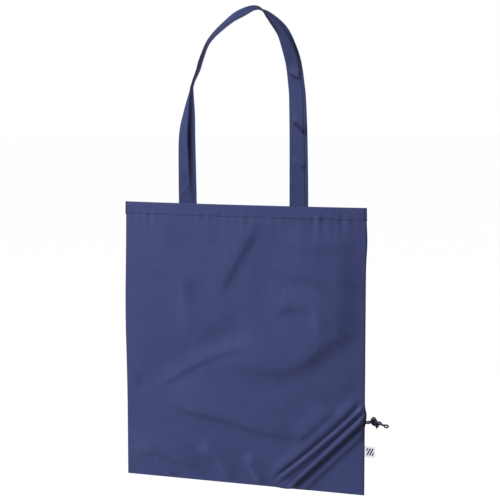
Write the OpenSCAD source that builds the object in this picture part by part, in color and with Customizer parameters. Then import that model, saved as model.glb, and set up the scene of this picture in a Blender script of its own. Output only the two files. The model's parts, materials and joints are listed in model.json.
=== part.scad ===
// Foldable shopping bag of thin woven polyester, hanging from its front handle.
//
// Two cloth panels are seamed together at the sides and the bottom, with a turned hem
// round the mouth that holds the ends of two long handles. A drawstring runs through a
// pair of casings across one lower corner. That corner gathers into a pouch, and the
// folded bag is stuffed into it.
//
// Frame: millimetres, +Z up, X along the mouth, the front panel faces -Y. The origin is
// the point the bag hangs from, under the highest point of the front handle. Inside the
// functions below, x is counted from the middle of the bag and z from its mouth.

/* [Bag] */
// Width between the side seams
bag_width = 380; // [320:5:460]
// Height from the mouth to the bottom seam
bag_height = 420; // [340:5:510]
// Thickness of a layer of cloth
cloth = 0.5; // [0.4:0.1:0.8]
// How far the front panel stands out from the seams at the mouth
front_bow = 6; // [4:1:9]
// How far the back panel stands out from the seams at the mouth
back_bow = 14; // [11:1:18]
// How far the middle of the back panel hangs below the front one at the mouth
back_sag = 13; // [11:1:16]
// How far the bottom seam swings forward as the bag hangs from its front handle
lean = 17; // [10:1:22]

/* [Hem and seams] */
// Depth of the turned hem round the mouth
hem_depth = 19; // [15:1:24]
// Width of the cloth turned inside at each seam
seam_allowance = 8; // [6:1:10]
// Width of a line of stitching
thread_width = 0.8; // [0.6:0.1:1.2]

/* [Handles] */
// Width of the folded and stitched handle
handle_width = 29; // [24:1:34]
// Thickness of the folded handle
handle_thickness = 0.8; // [0.6:0.1:1.2]
// Distance between the middles of a handle's two legs
handle_spacing = 175; // [150:5:200]
// Distance from the handle's edge to its line of stitching
handle_stitch_inset = 5; // [3:1:8]
// Radius of the rear handle's bend over the mouth
fold_radius = 3; // [2.5:0.5:4]

/* [Corner pouch] */
// Distance from the lower corner to each end of the casing
pouch_leg = 110; // [95:1:134]
// Width of the casing that the drawstring runs in
casing_width = 14; // [12:1:18]
// Diameter of the drawstring
cord_diameter = 2.4; // [2:0.1:2.8]

/* [Label] */
// How far the label stands out of the side seam
label_width = 15.5; // [12:0.5:20]
// Height of the label
label_height = 17; // [12:0.5:22]
// Distance from the bottom seam up to the label
label_rise = 57; // [35:1:62]

/* [Hidden] */

navy = [0.26, 0.28, 0.45];
navy_dark = [0.20, 0.22, 0.36];
thread_navy = [0.17, 0.19, 0.33];
cord_navy = [0.07, 0.08, 0.15];
label_white = [0.93, 0.93, 0.94];

layer_gap = 0.1;                  // between layers that lie on each other
free_gap = 0.4;                   // between pieces that move past each other
thread_height = 0.3;
cord_gap = 0.5;                   // between the drawstring and the cloth round it
curve_gap = 0.15;                 // between layers where the cloth is strongly curved
edge_inset = 0.5;                 // from the edge of the cloth to what is sewn inside it
tuck = 0.3;                       // from the mouth's fold to the layers inside the hem
row_inset = 1.2;                  // from a casing's edge to its stitching
leg_start = 0.6;                  // where the front handle starts above the mouth
coarse_cells = 8;                 // a panel's cells away from the casing
fine_cells = 20;                  // a panel's cells in the corner with the casing
hem_cells = 30;
facing_cells = 28;

// Middle line of the front handle, from its left leg to its right one: x, y, z above
// the mouth, and the turn of the cloth about the line. At 0 the stitched edge faces the
// inside of the loop, and at -90 it faces the front.
front_route = [
    [-87, 0, 0, 0], [-88, 0, 60, 0], [-88, 0, 100, -8], [-85, 0, 132, -30],
    [-81, 0, 164, -58], [-71, 0, 196, -84], [-59, 0, 228, -80], [-46, 0, 248, -68],
    [-24, 0, 266, -66], [2, 0, 281, -70], [18, 0, 284.4, -75], [27, 0, 283, -92],
    [38, 0, 278, -122], [57, 0, 262, -146], [69, 0, 240, -158], [78, 0, 209, -165],
    [85, 0, 153, -170], [87, 0, 110, -174], [88, 0, 55, -178], [88, 0, 0, -180]
];
hang_x = 18;                      // the highest station of the front handle
hang_z = 284;                     // the underside of the cloth there

// Middle line of the rear handle's loop, which hangs behind the bag: x, y outwards and
// z down from the end of the bend over the mouth, and the turn of the cloth. The second
// half of the loop mirrors the first.
rear_route = [
    [-87.5, 0, 0, 180], [-88, 0, -50, 180], [-88, 1, -95, 178], [-86, 2, -140, 168],
    [-78, 5, -190, 140], [-57, 8, -234, 110], [-30, 9, -258, 95], [0, 9, -266, 90]
];

// The free part of the drawstring, from the point where it leaves the side seam. Its
// two strands close in on each other, run into a knot with a second lump behind it, and
// end in a small loop.
strand_route = [[1.3, 2.7, -1.5], [4, 2.3, -2], [7, 1.8, -1.6], [9.6, 1.4, -0.8]];
knot_x = 15;
knot_radius = 5.8;
knot_length = 18;
lump_x = 23;
lump_z = -2.5;
lump_radius = 4.2;
loop_route = [
    [26.2, 0, -3.2], [28.5, 0, -2.6], [31, 0, -2.2], [33.5, 0, -2.6], [35, 0, -4],
    [35.2, 0, -5.6], [34, 0, -7.2], [31.5, 0, -7.8], [28.8, 0, -7], [26.6, 0, -5.6]
];

leg_x = handle_spacing / 2;
casing_length = pouch_leg * sqrt(2);
exit_x = bag_width / 2;           // where the drawstring leaves the side seam
exit_z = pouch_leg - bag_height;
tunnel = cord_diameter + 2 * cord_gap;      // room for the drawstring in its casing
puff = tunnel + cloth + layer_gap;          // how far the casing lifts the panels
puff_reach = 12;                            // half-width of the lifted ridge
fade_power = 16;                            // keeps the ridge full nearly to the bottom
panel_offset = 1.3 * cloth;                 // from a seam's plane to each panel's middle
stack = cloth / 2 + layer_gap + handle_thickness / 2;   // panel to handle, mid to mid

// ---- The panels' shape ----

// 1 in the middle of the bag and 0 at its side seams.
function across(x) = 1 - pow(2 * x / bag_width, 2);

// 1 at the mouth and 0 at the bottom seam.
function open(z) = 1 - pow(max(0, -z) / bag_height, 3);

// The plane of the seams, placed so that the front handle's legs lie at y = 0.
seam_top = panel_offset + front_bow * across(leg_x) - stack;
function seam_y(z) = seam_top + lean * z / bag_height;

// Distance from the casing's middle line, positive towards the corner, and distance
// along it from the side seam.
function off_casing(x, z) = ((x - exit_x) - (z - exit_z)) / sqrt(2);
function along_casing(x, z) = -((x - exit_x) + (z - exit_z)) / sqrt(2);

function fade(s) = 1 - pow(min(1, max(0, s / casing_length)), fade_power);
function ridge(x, z) = exp(-pow(off_casing(x, z) / puff_reach, 2))
    * fade(along_casing(x, z));

// The middle of each panel's cloth. side is -1 for the front and 1 for the back. Over
// the casing the bow gives way to a straight ridge, so that the drawstring can slide.
function bow(side) = side < 0 ? front_bow : back_bow;
function panel_y(side, x, z) = let (r = ridge(x, z)) seam_y(z)
    + side * (panel_offset + bow(side) * across(x) * open(z) * (1 - r) + puff * r);
function mouth_z(side, x) = side < 0 ? 0 : -back_sag * across(x);

// ---- Shared modules ----

// Moves the bag from its own frame to the point it hangs from.
module hung() translate([-hang_x, 0, -hang_z]) children();

// A closed sheet between two matched grids of points. Rows run down and columns run
// to the right, near faces -Y and far faces +Y.
module grid_solid(near, far) {
    rows = len(near);
    cols = len(near[0]);
    total = rows * cols;
    function n(i, j) = i * cols + j;
    function f(i, j) = total + i * cols + j;
    points = concat([for (row = near) each row], [for (row = far) each row]);
    skins = [for (i = [0 : rows - 2]) for (j = [0 : cols - 2]) each [
        [n(i, j), n(i, j + 1), n(i + 1, j + 1)], [n(i, j), n(i + 1, j + 1), n(i + 1, j)],
        [f(i, j), f(i + 1, j + 1), f(i, j + 1)], [f(i, j), f(i + 1, j), f(i + 1, j + 1)]
    ]];
    last = rows - 1;
    ends = [for (j = [0 : cols - 2]) each [
        [f(0, j), f(0, j + 1), n(0, j + 1)], [f(0, j), n(0, j + 1), n(0, j)],
        [n(last, j), n(last, j + 1), f(last, j + 1)], [n(last, j), f(last, j + 1), f(last, j)]
    ]];
    edge = cols - 1;
    sides = [for (i = [0 : rows - 2]) each [
        [f(i, 0), n(i, 0), n(i + 1, 0)], [f(i, 0), n(i + 1, 0), f(i + 1, 0)],
        [n(i, edge), f(i, edge), f(i + 1, edge)], [n(i, edge), f(i + 1, edge), n(i + 1, edge)]
    ]];
    polyhedron(points, concat(skins, ends, sides), convexity = 8);
}

// A sheet of cloth of the given thickness about a grid of points.
module sheet(grid, thickness) grid_solid(
    [for (row = grid) [for (p = row) p - [0, thickness / 2, 0]]],
    [for (row = grid) [for (p = row) p + [0, thickness / 2, 0]]]
);

// A band of cloth that follows one panel. xs are its columns, and tops and bottoms
// give its edges below the mouth. inset is its distance inside the panel's middle.
module band(side, xs, top, bottom, rows, inset, thickness) sheet(
    [for (i = [0 : rows]) [for (x = xs)
        let (z = mouth_z(side, x) - top - (bottom - top) * i / rows)
        [x, panel_y(side, x, z) - side * inset, z]]],
    thickness
);

function steps(from, to, count) = [for (i = [0 : count]) from + (to - from) * i / count];

// A point near one panel, given by its distance along and off the casing's middle line.
function casing_point(side, s, d, inset) =
    let (x = exit_x - (s - d) / sqrt(2), z = exit_z - (s + d) / sqrt(2))
    [x, panel_y(side, x, z) - side * inset, z];

// Smooth curve through a list of points, with the given steps in each stretch.
function catmull(a, b, c, d, t) = b + t / 2 * (
    (c - a) + t * ((2 * a - 5 * b + 4 * c - d) + t * (3 * b - a - 3 * c + d)));
function smooth(points, count) =
    let (n = len(points) - 1)
    concat([for (i = [0 : n - 1]) for (k = [0 : count - 1])
        catmull(points[max(i - 1, 0)], points[i], points[i + 1], points[min(i + 2, n)],
            k / count)], [points[n]]);

function unit(v) = v / norm(v);
function direction(points, i) =
    unit(points[min(i + 1, len(points) - 1)] - points[max(i - 1, 0)]);
function place(p) = [p[0], p[1], p[2]];

// Width direction of a handle at each station of a route in an upright plane.
function turned(route) = let (line = [for (p = route) place(p)])
    [for (i = [0 : len(route) - 1])
        let (
            along = direction(line, i),
            inwards = unit(cross([0, 1, 0], along)),
            outwards = cross(along, inwards)
        )
        [line[i], cos(route[i][3]) * inwards + sin(route[i][3]) * outwards]];

// A flat ribbon along stations of [point, width direction]. edges are its columns,
// measured across the width, and lift moves it off the face.
module ribbon(stations, edges, thickness, lift = 0) {
    line = [for (s = stations) s[0]];
    normals = [for (i = [0 : len(stations) - 1])
        unit(cross(stations[i][1], direction(line, i)))];
    function skin(h) = [for (i = [len(stations) - 1 : -1 : 0])
        [for (w = edges) line[i] + w * stations[i][1] + (lift + h) * normals[i]]];
    grid_solid(skin(thickness / 2), skin(-thickness / 2));
}

// A straight round rod between two points.
module rod(from, to, diameter) let (v = to - from)
    translate(from) rotate([0, acos(v[2] / norm(v)), atan2(v[1], v[0])])
        cylinder(h = norm(v), d = diameter, $fn = 24);

// A round cord swept along points.
module tube(points, diameter, sides = 8) {
    rings = [for (i = [0 : len(points) - 1])
        let (
            along = direction(points, i),
            across = unit(cross(along, abs(along[1]) > 0.8 ? [1, 0, 0] : [0, 1, 0])),
            other = cross(along, across)
        )
        [for (k = [0 : sides - 1])
            points[i] + diameter / 2 * (cos(360 * k / sides) * across
                + sin(360 * k / sides) * other)]];
    last = len(points) - 1;
    function v(i, k) = i * sides + k % sides;
    walls = [for (i = [0 : last - 1]) for (k = [0 : sides - 1]) each [
        [v(i, k), v(i, k + 1), v(i + 1, k + 1)], [v(i, k), v(i + 1, k + 1), v(i + 1, k)]
    ]];
    caps = [[for (k = [sides - 1 : -1 : 0]) v(0, k)], [for (k = [0 : sides - 1]) v(last, k)]];
    polyhedron([for (ring = rings) each ring], concat(walls, caps), convexity = 4);
}

// ---- Panels, hem and seams ----

corner_x = bag_width / 2 - pouch_leg - 20;  // left edge of the finer part of a panel
corner_z = bag_height - pouch_leg - 20;
panel_xs = concat(steps(-bag_width / 2, corner_x, coarse_cells),
    [for (i = [1 : fine_cells]) corner_x + (bag_width / 2 - corner_x) * i / fine_cells]);
panel_drops = concat(steps(0, corner_z, coarse_cells),
    [for (i = [1 : fine_cells]) corner_z + (bag_height - corner_z) * i / fine_cells]);

module panel(side) sheet(
    [for (drop = panel_drops) [for (x = panel_xs)
        let (z = -drop + mouth_z(side, x) * (1 - drop / bag_height))
        [x, panel_y(side, x, z), z]]],
    cloth
);

facing_reach = bag_width / 2 - seam_allowance - 1;
facing_xs = steps(-facing_reach, facing_reach, facing_cells);
hem_reach = bag_width / 2 - 1;
hem_xs = steps(-hem_reach, hem_reach, hem_cells);
lift_slope = 2.5;                 // brings the facing back to the panel near the seams

// The inner layer of the hem, which lies over the ends of the handles.
module hem_facing(side) sheet(
    [for (drop = [tuck, hem_depth]) [for (x = facing_xs)
        let (
            z = mouth_z(side, x) - drop,
            lift = (handle_thickness + layer_gap) * min(1, lift_slope * across(x))
        )
        [x, panel_y(side, x, z) - side * (cloth + layer_gap + lift), z]]],
    cloth
);

module hem_stitching(side) band(side, hem_xs, hem_depth - edge_inset - thread_width,
    hem_depth - edge_inset, 1, -(cloth + thread_height) / 2 - layer_gap, thread_height);

allowance_thickness = 2 * (panel_offset - cloth / 2 - layer_gap);

// The cloth turned inside along a side seam, between two heights below the mouth.
module side_allowance(side_x, from, to) sheet(
    [for (drop = steps(from, to, 6)) [for (x = side_x < 0
            ? [-bag_width / 2 + edge_inset, -bag_width / 2 + seam_allowance]
            : [bag_width / 2 - seam_allowance, bag_width / 2 - edge_inset])
        [x, seam_y(-drop), -drop]]],
    allowance_thickness
);

module left_seam_allowance() color(navy_dark) hung()
    side_allowance(-1, hem_depth + 1, bag_height - edge_inset);

// The seam is left open round the drawstring's exit.
module right_seam_allowance() color(navy_dark) hung() {
    side_allowance(1, hem_depth + 1, -exit_z - casing_width);
    side_allowance(1, -exit_z + casing_width, bag_height - edge_inset);
}

module bottom_seam_allowance() color(navy_dark) hung()
    let (reach = bag_width / 2 - seam_allowance - edge_inset)
    sheet([for (drop = [bag_height - seam_allowance, bag_height - edge_inset])
        [for (x = steps(-reach, reach, 8)) [x, seam_y(-drop), -drop]]],
        allowance_thickness);

// ---- Corner pouch ----

casing_ds = steps(-casing_width / 2, casing_width / 2, 6);
casing_trim = seam_allowance * sqrt(2) + 2;     // keeps the casing off the bottom seam

// Distance along the casing at share t, so that both ends run square with the seams.
function casing_s(d, t) = (d + 1) * (1 - t) + (casing_length - d - casing_trim) * t;

module casing(side) sheet(
    [for (d = casing_ds) [for (t = steps(1, 0, 24))
        let (
            s = casing_s(d, t),
            lift = tunnel * (1 - pow(2 * d / casing_width, 2)) * fade(s)
        )
        casing_point(side, s, d, cloth + layer_gap + lift)]],
    cloth
);

module casing_row(side, d) sheet(
    [for (e = [d - thread_width / 2, d + thread_width / 2]) [for (t = steps(1, 0, 24))
        casing_point(side, casing_s(e, t), e, -(cloth + thread_height) / 2 - curve_gap)]],
    thread_height
);

module casing_stitching(side) for (edge = [-1, 1])
    casing_row(side, edge * (casing_width / 2 - row_inset));

run_end = 0.88 * casing_length;
exit_gap = 0.3;                             // the run ends just inside the seam
run_inset = cloth / 2 + cord_gap + cord_diameter / 2;

// The drawstring inside one casing.
module run(side) rod(casing_point(side, exit_gap * sqrt(2), 0, run_inset),
    casing_point(side, run_end, 0, run_inset), cord_diameter);

exit_point = [exit_x, seam_y(exit_z), exit_z];
function mirrored(p, side) = [p[0], side * p[1], p[2]];

module drawstring_front_run() color(cord_navy) hung() run(-1);
module drawstring_back_run() color(cord_navy) hung() run(1);

module drawstring_neck() color(cord_navy) hung() translate(exit_point)
    for (side = [-1, 1])
        tube(smooth([for (p = strand_route) mirrored(p, side)], 2), cord_diameter);

module drawstring_knot() color(cord_navy) hung() translate(exit_point) {
    half = knot_length / 2 - knot_radius;
    translate([knot_x, 0, -half]) cylinder(r = knot_radius, h = 2 * half, $fn = 32);
    for (end = [-half, half]) translate([knot_x, 0, end]) sphere(r = knot_radius, $fn = 32);
    translate([lump_x, 0, lump_z]) sphere(r = lump_radius, $fn = 32);
}

module drawstring_loop() color(cord_navy) hung() translate(exit_point)
    tube(smooth(loop_route, 2), cord_diameter);

// ---- Handles ----

// The front handle's route is drawn for legs 175 mm apart and widens with the spacing.
route_spacing = 175;
front_stations = turned([for (p = smooth(front_route, 3))
    [p[0] * handle_spacing / route_spacing, p[1],
        max(p[2], leg_start), p[3]]]);

rear_leg_y = panel_y(1, leg_x, mouth_z(1, leg_x)) - stack;
leg_mouth_z = mouth_z(1, leg_x + handle_width / 2);     // the mouth at the outer edge
bend_y = rear_leg_y + fold_radius;          // the axis that the rear handle swings on
bend_z = leg_mouth_z + fold_radius + 2;
bend_low = leg_mouth_z + free_gap;

// The rear handle's bend over the mouth, from the hem to the hanging leg.
function rear_bend(x) = concat([[x, rear_leg_y, bend_low]],
    [for (a = [180 : -30 : 0])
        [x, bend_y + fold_radius * cos(a), bend_z + fold_radius * sin(a)]]);

rear_half = [for (p = rear_route)
    [p[0] * handle_spacing / route_spacing, bend_y + fold_radius + p[1], bend_z + p[2], p[3]]];
rear_loop_route = concat(rear_half,
    [for (i = [len(rear_half) - 2 : -1 : 0])
        let (p = rear_half[i]) [-p[0], p[1], p[2], p[3]]]);
rear_loop = turned(smooth(rear_loop_route, 4));
rear_left = rear_bend(-leg_x);
rear_right = rear_bend(leg_x);
rear_stations = concat(
    [for (p = rear_left) [p, [1, 0, 0]]],
    [for (i = [1 : len(rear_loop) - 2]) rear_loop[i]],
    [for (i = [len(rear_right) - 1 : -1 : 0]) [rear_right[i], [-1, 0, 0]]]
);

stitch_offset = handle_width / 2 - handle_stitch_inset;
stitch_lift = (handle_thickness + thread_height) / 2;

stitch_edges = [stitch_offset - thread_width / 2, stitch_offset + thread_width / 2];

module handle(stations) ribbon(stations,
    [-handle_width / 2, each stitch_edges, handle_width / 2], handle_thickness);

// The line of stitching shows on both faces of the handle.
module handle_stitching(stations) for (face = [-1, 1])
    ribbon(stations, stitch_edges, thread_height, face * stitch_lift);

// The ends of a handle that are caught in the hem.
module handle_ends(side) for (leg = [-leg_x, leg_x])
    band(side, steps(leg - handle_width / 2, leg + handle_width / 2, 2), tuck,
        hem_depth - 2 * tuck, 1, stack, handle_thickness);

module front_handle() color(navy) hung() handle(front_stations);
module front_handle_stitching() color(thread_navy) hung() handle_stitching(front_stations);
module front_handle_ends() color(navy) hung() handle_ends(-1);
module rear_handle() color(navy) hung() handle(rear_stations);
module rear_handle_stitching() color(thread_navy) hung() handle_stitching(rear_stations);
module rear_handle_ends() color(navy) hung() handle_ends(1);

// ---- Remaining parts ----

module front_panel() color(navy) hung() panel(-1);
module back_panel() color(navy) hung() panel(1);
module front_hem_facing() color(navy) hung() hem_facing(-1);
module back_hem_facing() color(navy) hung() hem_facing(1);
module front_hem_stitching() color(thread_navy) hung() hem_stitching(-1);
module back_hem_stitching() color(thread_navy) hung() hem_stitching(1);
module front_casing() color(navy_dark) hung() casing(-1);
module back_casing() color(navy_dark) hung() casing(1);
module front_casing_stitching() color(thread_navy) hung() casing_stitching(-1);
module back_casing_stitching() color(thread_navy) hung() casing_stitching(1);

// The label is sewn into the side seam and stands out of it.
module side_label() color(label_white) hung()
    let (low = label_rise - bag_height)
    translate([exit_x + free_gap, seam_y(low + label_height / 2) - cloth / 2, low])
        cube([label_width, cloth, label_height]);

front_panel();
back_panel();
front_hem_facing();
back_hem_facing();
front_hem_stitching();
back_hem_stitching();
left_seam_allowance();
right_seam_allowance();
bottom_seam_allowance();
front_casing();
back_casing();
front_casing_stitching();
back_casing_stitching();
front_handle();
front_handle_stitching();
front_handle_ends();
rear_handle();
rear_handle_stitching();
rear_handle_ends();
drawstring_front_run();
drawstring_back_run();
drawstring_neck();
drawstring_knot();
drawstring_loop();
side_label();
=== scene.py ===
# %% [markdown]
# # A foldable shopping bag
# This lesson dresses a plain shopping bag of thin woven polyester. The bag hangs from
# its front handle. Its exact sizes come from a CAD frame, and each soft piece is made
# here again as cloth, thread or cord, in the place that its CAD solid holds.

import json
import math

import bpy
import numpy as np
from mathutils import Matrix

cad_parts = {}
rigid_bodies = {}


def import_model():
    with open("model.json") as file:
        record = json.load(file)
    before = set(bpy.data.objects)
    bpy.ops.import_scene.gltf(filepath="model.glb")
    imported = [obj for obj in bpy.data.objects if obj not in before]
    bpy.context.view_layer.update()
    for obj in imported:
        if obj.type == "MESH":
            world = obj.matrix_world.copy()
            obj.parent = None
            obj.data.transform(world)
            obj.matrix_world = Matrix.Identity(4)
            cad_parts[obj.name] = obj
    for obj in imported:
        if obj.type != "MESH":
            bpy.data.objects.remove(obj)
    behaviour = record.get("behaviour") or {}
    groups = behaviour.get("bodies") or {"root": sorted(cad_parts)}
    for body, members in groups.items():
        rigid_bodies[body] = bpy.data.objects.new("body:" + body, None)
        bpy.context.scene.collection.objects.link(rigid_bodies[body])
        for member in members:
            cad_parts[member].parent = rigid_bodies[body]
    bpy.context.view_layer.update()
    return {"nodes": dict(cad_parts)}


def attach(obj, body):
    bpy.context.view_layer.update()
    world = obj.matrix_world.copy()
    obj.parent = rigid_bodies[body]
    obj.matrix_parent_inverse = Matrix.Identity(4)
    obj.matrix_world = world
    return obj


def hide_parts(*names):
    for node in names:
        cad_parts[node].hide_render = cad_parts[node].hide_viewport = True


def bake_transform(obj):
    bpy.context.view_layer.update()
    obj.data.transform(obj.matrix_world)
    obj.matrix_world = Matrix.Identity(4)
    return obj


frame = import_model()
print("frame loaded:", len(frame["nodes"]), "CAD nodes")

# %% [markdown]
# ## Measures
# Everything is drawn in millimetres on the bag itself: x runs from the middle of the
# bag, z from its mouth and y towards its back. One function moves such points to the
# frame, whose origin is where the bag hangs, and to metres, which Blender uses.

# %% Bag measures
HANG_X, HANG_Z = 18, 284
bag_width, bag_height = 380, 420
half_width = bag_width / 2
hem_depth, hem_stitch_z = 19, -18.3              # the row of stitches round the mouth
SEAM_TOP, LEAN = 4.6275, 17                      # y of the seams at the mouth, and their lean
exit_x, exit_z = 190, -310                       # where the drawstring leaves the side seam
casing_length, casing_width = 155.6, 14
casing_stitch = 5.8                              # from the casing's middle line to its stitches
handle_stitch = 9.5                              # from a handle's middle to its stitches
cord_thickness = 2.4
CLOTH, LABEL_CLOTH = 0.3, 0.45                   # thickness of a layer


def to_frame(points):
    """Bag millimetres to frame metres."""
    return (np.asarray(points, float) - (HANG_X, 0, HANG_Z)) * 0.001


print("mouth at", to_frame((0, 0, 0))[2], "m, bottom seam at", to_frame((0, 0, -bag_height))[2], "m")

# %% [markdown]
# ## Camera
# A long lens looks from a little to the right and a little above. Its numbers make the
# four corners of the bag fall where they should. The camera comes first, because cords
# are checked against its view.

# %% Camera
camera_data = bpy.data.cameras.new("camera")
camera = bpy.data.objects.new("camera", camera_data)
bpy.context.scene.collection.objects.link(camera)
bpy.context.scene.camera = camera
camera_data.sensor_width = 36
camera_data.lens = 113.7456
azimuth, elevation, roll = math.radians(21.13), math.radians(7.974), math.radians(-0.827)
back = np.array([
    math.sin(azimuth) * math.cos(elevation),
    -math.cos(azimuth) * math.cos(elevation),
    math.sin(elevation),
])
level = np.cross(-back, (0, 0, 1))
level /= np.linalg.norm(level)
upright = np.cross(level, -back)
right = level * math.cos(roll) + upright * math.sin(roll)
up = upright * math.cos(roll) - level * math.sin(roll)
place = np.array([-0.0059, 0, -0.3507]) + back * 2.3294


def stand(columns, at):
    """The matrix of an object whose own x, y and z axes point along three columns."""
    rows = [[columns[0][k], columns[1][k], columns[2][k], at[k]] for k in range(3)]
    return Matrix(rows + [[0, 0, 0, 1]])


camera.matrix_world = stand((right, up, back), place)
camera_data.clip_end = 60
print("camera at", np.round(place, 3), "lens", round(camera_data.lens, 1), "mm")

# %% [markdown]
# ## Drawing tools
# A few small tools serve the whole bag. A smooth curve passes through given points.
# A cloth grid is a grid primitive whose points are moved onto a surface that a function
# describes. Its UV map holds the cloth's own millimetres, so that a weave follows the
# folds. A solidify modifier then gives the grid the thickness of cloth.

# %% Smooth curve through points
def smooth(points, steps):
    """Catmull-Rom curve through points, with the given steps in each stretch."""
    p = np.asarray(points, float)
    p = np.vstack([2 * p[0] - p[1], p, 2 * p[-1] - p[-2]])
    t = (np.arange(steps) / steps)[:, None]
    out = []
    for a, b, c, d in zip(p, p[1:], p[2:], p[3:]):
        bend = (2 * a - 5 * b + 4 * c - d) + t * (3 * b - a - 3 * c + d)
        out.append(b + t / 2 * ((c - a) + t * bend))
    return np.vstack(out + [p[-2:-1]])


def even(points, count):
    """The same line as count points at even distances."""
    p = np.asarray(points, float)
    s = np.r_[0, np.cumsum(np.linalg.norm(np.diff(p[:, :3], axis=0), axis=1))]
    want = np.linspace(0, s[-1], count)
    return np.column_stack([np.interp(want, s, p[:, k]) for k in range(p.shape[1])])


def length_of(line):
    return float(np.linalg.norm(np.diff(line, axis=0), axis=1).sum())


print("an arch over 2 mm is", round(length_of(smooth([(0, 0), (1, 1), (2, 0)], 8)), 2), "mm long")


# %% Cloth grid
def deselect():
    for item in bpy.context.selected_objects:
        item.select_set(False)


def select_only(piece):
    deselect()
    piece.select_set(True)
    bpy.context.view_layer.objects.active = piece


def in_edit_mode(step):
    """Runs one step on the whole of the active mesh."""
    bpy.ops.object.mode_set(mode="EDIT")
    bpy.ops.mesh.select_all(action="SELECT")
    step()
    bpy.ops.object.mode_set(mode="OBJECT")


def close_tube():
    """Joins a rolled-up grid along its length and fills its two ends."""
    bpy.ops.mesh.remove_doubles(threshold=0.00002)
    bpy.ops.mesh.select_all(action="DESELECT")
    bpy.ops.mesh.select_non_manifold()
    bpy.ops.mesh.fill()
    bpy.ops.mesh.select_all(action="SELECT")
    bpy.ops.mesh.normals_make_consistent(inside=False)


def cloth_grid(name, columns, rows, surface, size, inside_out=False, tube=False, shade=None):
    """A grid moved onto surface(u, v), which gives bag millimetres. u runs across and v
    down, both from 0 to 1, and size is the cloth's width and length in millimetres.
    shade(u, v) is kept as the cloth's own painted shade value, which its finish reads to darken the
    colour."""
    deselect()
    bpy.ops.mesh.primitive_grid_add(x_subdivisions=columns, y_subdivisions=rows, size=2)
    piece = bpy.context.active_object
    piece.name = piece.data.name = name
    mesh = piece.data
    flat = np.empty(len(mesh.vertices) * 3)
    mesh.vertices.foreach_get("co", flat)
    flat = flat.reshape(-1, 3)
    u, v = (flat[:, 0] + 1) / 2, (1 - flat[:, 1]) / 2
    mesh.vertices.foreach_set("co", to_frame(surface(u, v)).ravel())
    corner = np.empty(len(mesh.loops), int)
    mesh.loops.foreach_get("vertex_index", corner)
    uv = mesh.uv_layers.active or mesh.uv_layers.new()
    uv.name = "cloth"
    uv.data.foreach_set("uv", np.column_stack([u * size[0], v * size[1]])[corner].ravel())
    # This value is painted shade: the finish darkens the cloth's colour by it.
    painted_shade = mesh.attributes.new("painted_shade", "FLOAT", "POINT")
    painted_shade.data.foreach_set("value", np.zeros(len(u)) if shade is None else shade(u, v))
    if tube:
        in_edit_mode(close_tube)
    if inside_out:
        in_edit_mode(bpy.ops.mesh.flip_normals)
    mesh.update()
    return piece


def thicken(piece, millimetres):
    """Gives a grid its cloth thickness on the inner side and smooth shading."""
    select_only(piece)
    layer = piece.modifiers.new("thickness", "SOLIDIFY")
    layer.thickness = millimetres * 0.001
    layer.offset = -1
    bpy.ops.object.modifier_apply(modifier=layer.name)
    bpy.ops.object.shade_smooth_by_angle(angle=math.radians(50))
    print(piece.name, "has", len(piece.data.polygons), "faces")


# %% [markdown]
# ## The shape of a panel
# The hanging bag is nearly flat. Each panel bows a little away from the seams at the
# mouth and lies on the seam at the sides and the bottom. Across one lower corner runs a
# casing, a tunnel that lifts the cloth into a long ridge. The formula is the one the CAD
# solids follow, so the cloth lies where they are.

# %% Panel surface
def across(x):
    """1 in the middle of the panel and 0 at its side seams."""
    return 1 - (2 * x / bag_width) ** 2


def seam_plane(z):
    """y of the plane that the seams lie in, which leans as the bag hangs."""
    return SEAM_TOP + LEAN * z / bag_height


def casing_off(x, z):
    """Distance from the casing's middle line, positive towards the corner."""
    return ((x - exit_x) - (z - exit_z)) / math.sqrt(2)


def casing_along(x, z):
    """Distance along the casing from the side seam."""
    return -((x - exit_x) + (z - exit_z)) / math.sqrt(2)


def casing_ridge(x, z):
    """How far the casing lifts the cloth, from 0 to 1. It fades at the casing's far end."""
    reach = np.clip(casing_along(x, z) / casing_length, 0, 1)
    return np.exp(-(casing_off(x, z) / 12) ** 2) * (1 - reach ** 16)


def panel_y(side, x, z):
    """y of the front (side -1) or back (side 1) panel, before its folds."""
    bow = 6 if side < 0 else 14
    opened = 1 - np.clip(-z / bag_height, 0, 1) ** 3
    ridge = casing_ridge(x, z)
    rise = 0.65 + bow * across(x) * opened * (1 - ridge) + 4.0 * ridge
    return seam_plane(z) + side * rise


def mouth(side, x):
    """z of the panel's upper edge: the back panel sags in the middle."""
    return 0 * x if side < 0 else -13 * across(x)


bowed = float(seam_plane(0) - panel_y(-1, 0, 0))
print("front panel stands", round(bowed, 2), "mm out of the seams at the mouth")

# %% [markdown]
# ## Folds
# Thin cloth that was once packed into a pouch keeps long soft folds. Each fold is a line
# drawn on the panel with a height and a width on its upper and lower sides. A narrow
# side is steep and reads as a dark band, a wide side is gentle and reads as a sheen.

# %% Fold tool
def beside(line, x, z):
    """Distance from each point to a drawn line, positive on its left-hand side, and the
    share of the line that lies before the nearest place on it."""
    line = np.asarray(line, float)
    steps = np.hypot(*np.diff(line, axis=0).T)
    best = np.full(np.shape(x), 1e9)
    signed, share = np.zeros(np.shape(x)), np.zeros(np.shape(x))
    gone = 0.0
    for (ax, az), (bx, bz), step in zip(line, line[1:], steps):
        dx, dz = bx - ax, bz - az
        t = np.clip(((x - ax) * dx + (z - az) * dz) / (step * step), 0, 1)
        px, pz = x - ax - t * dx, z - az - t * dz
        distance = np.hypot(px, pz)
        nearer = distance < best
        best = np.where(nearer, distance, best)
        signed = np.where(nearer, np.where(dx * pz - dz * px >= 0, distance, -distance), signed)
        share = np.where(nearer, (gone + t * step) / steps.sum(), share)
        gone += step
    return signed, share


def soft_step(amount):
    """Rises smoothly from 0 to 1."""
    amount = np.clip(amount, 0, 1)
    return amount * amount * (3 - 2 * amount)


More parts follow.
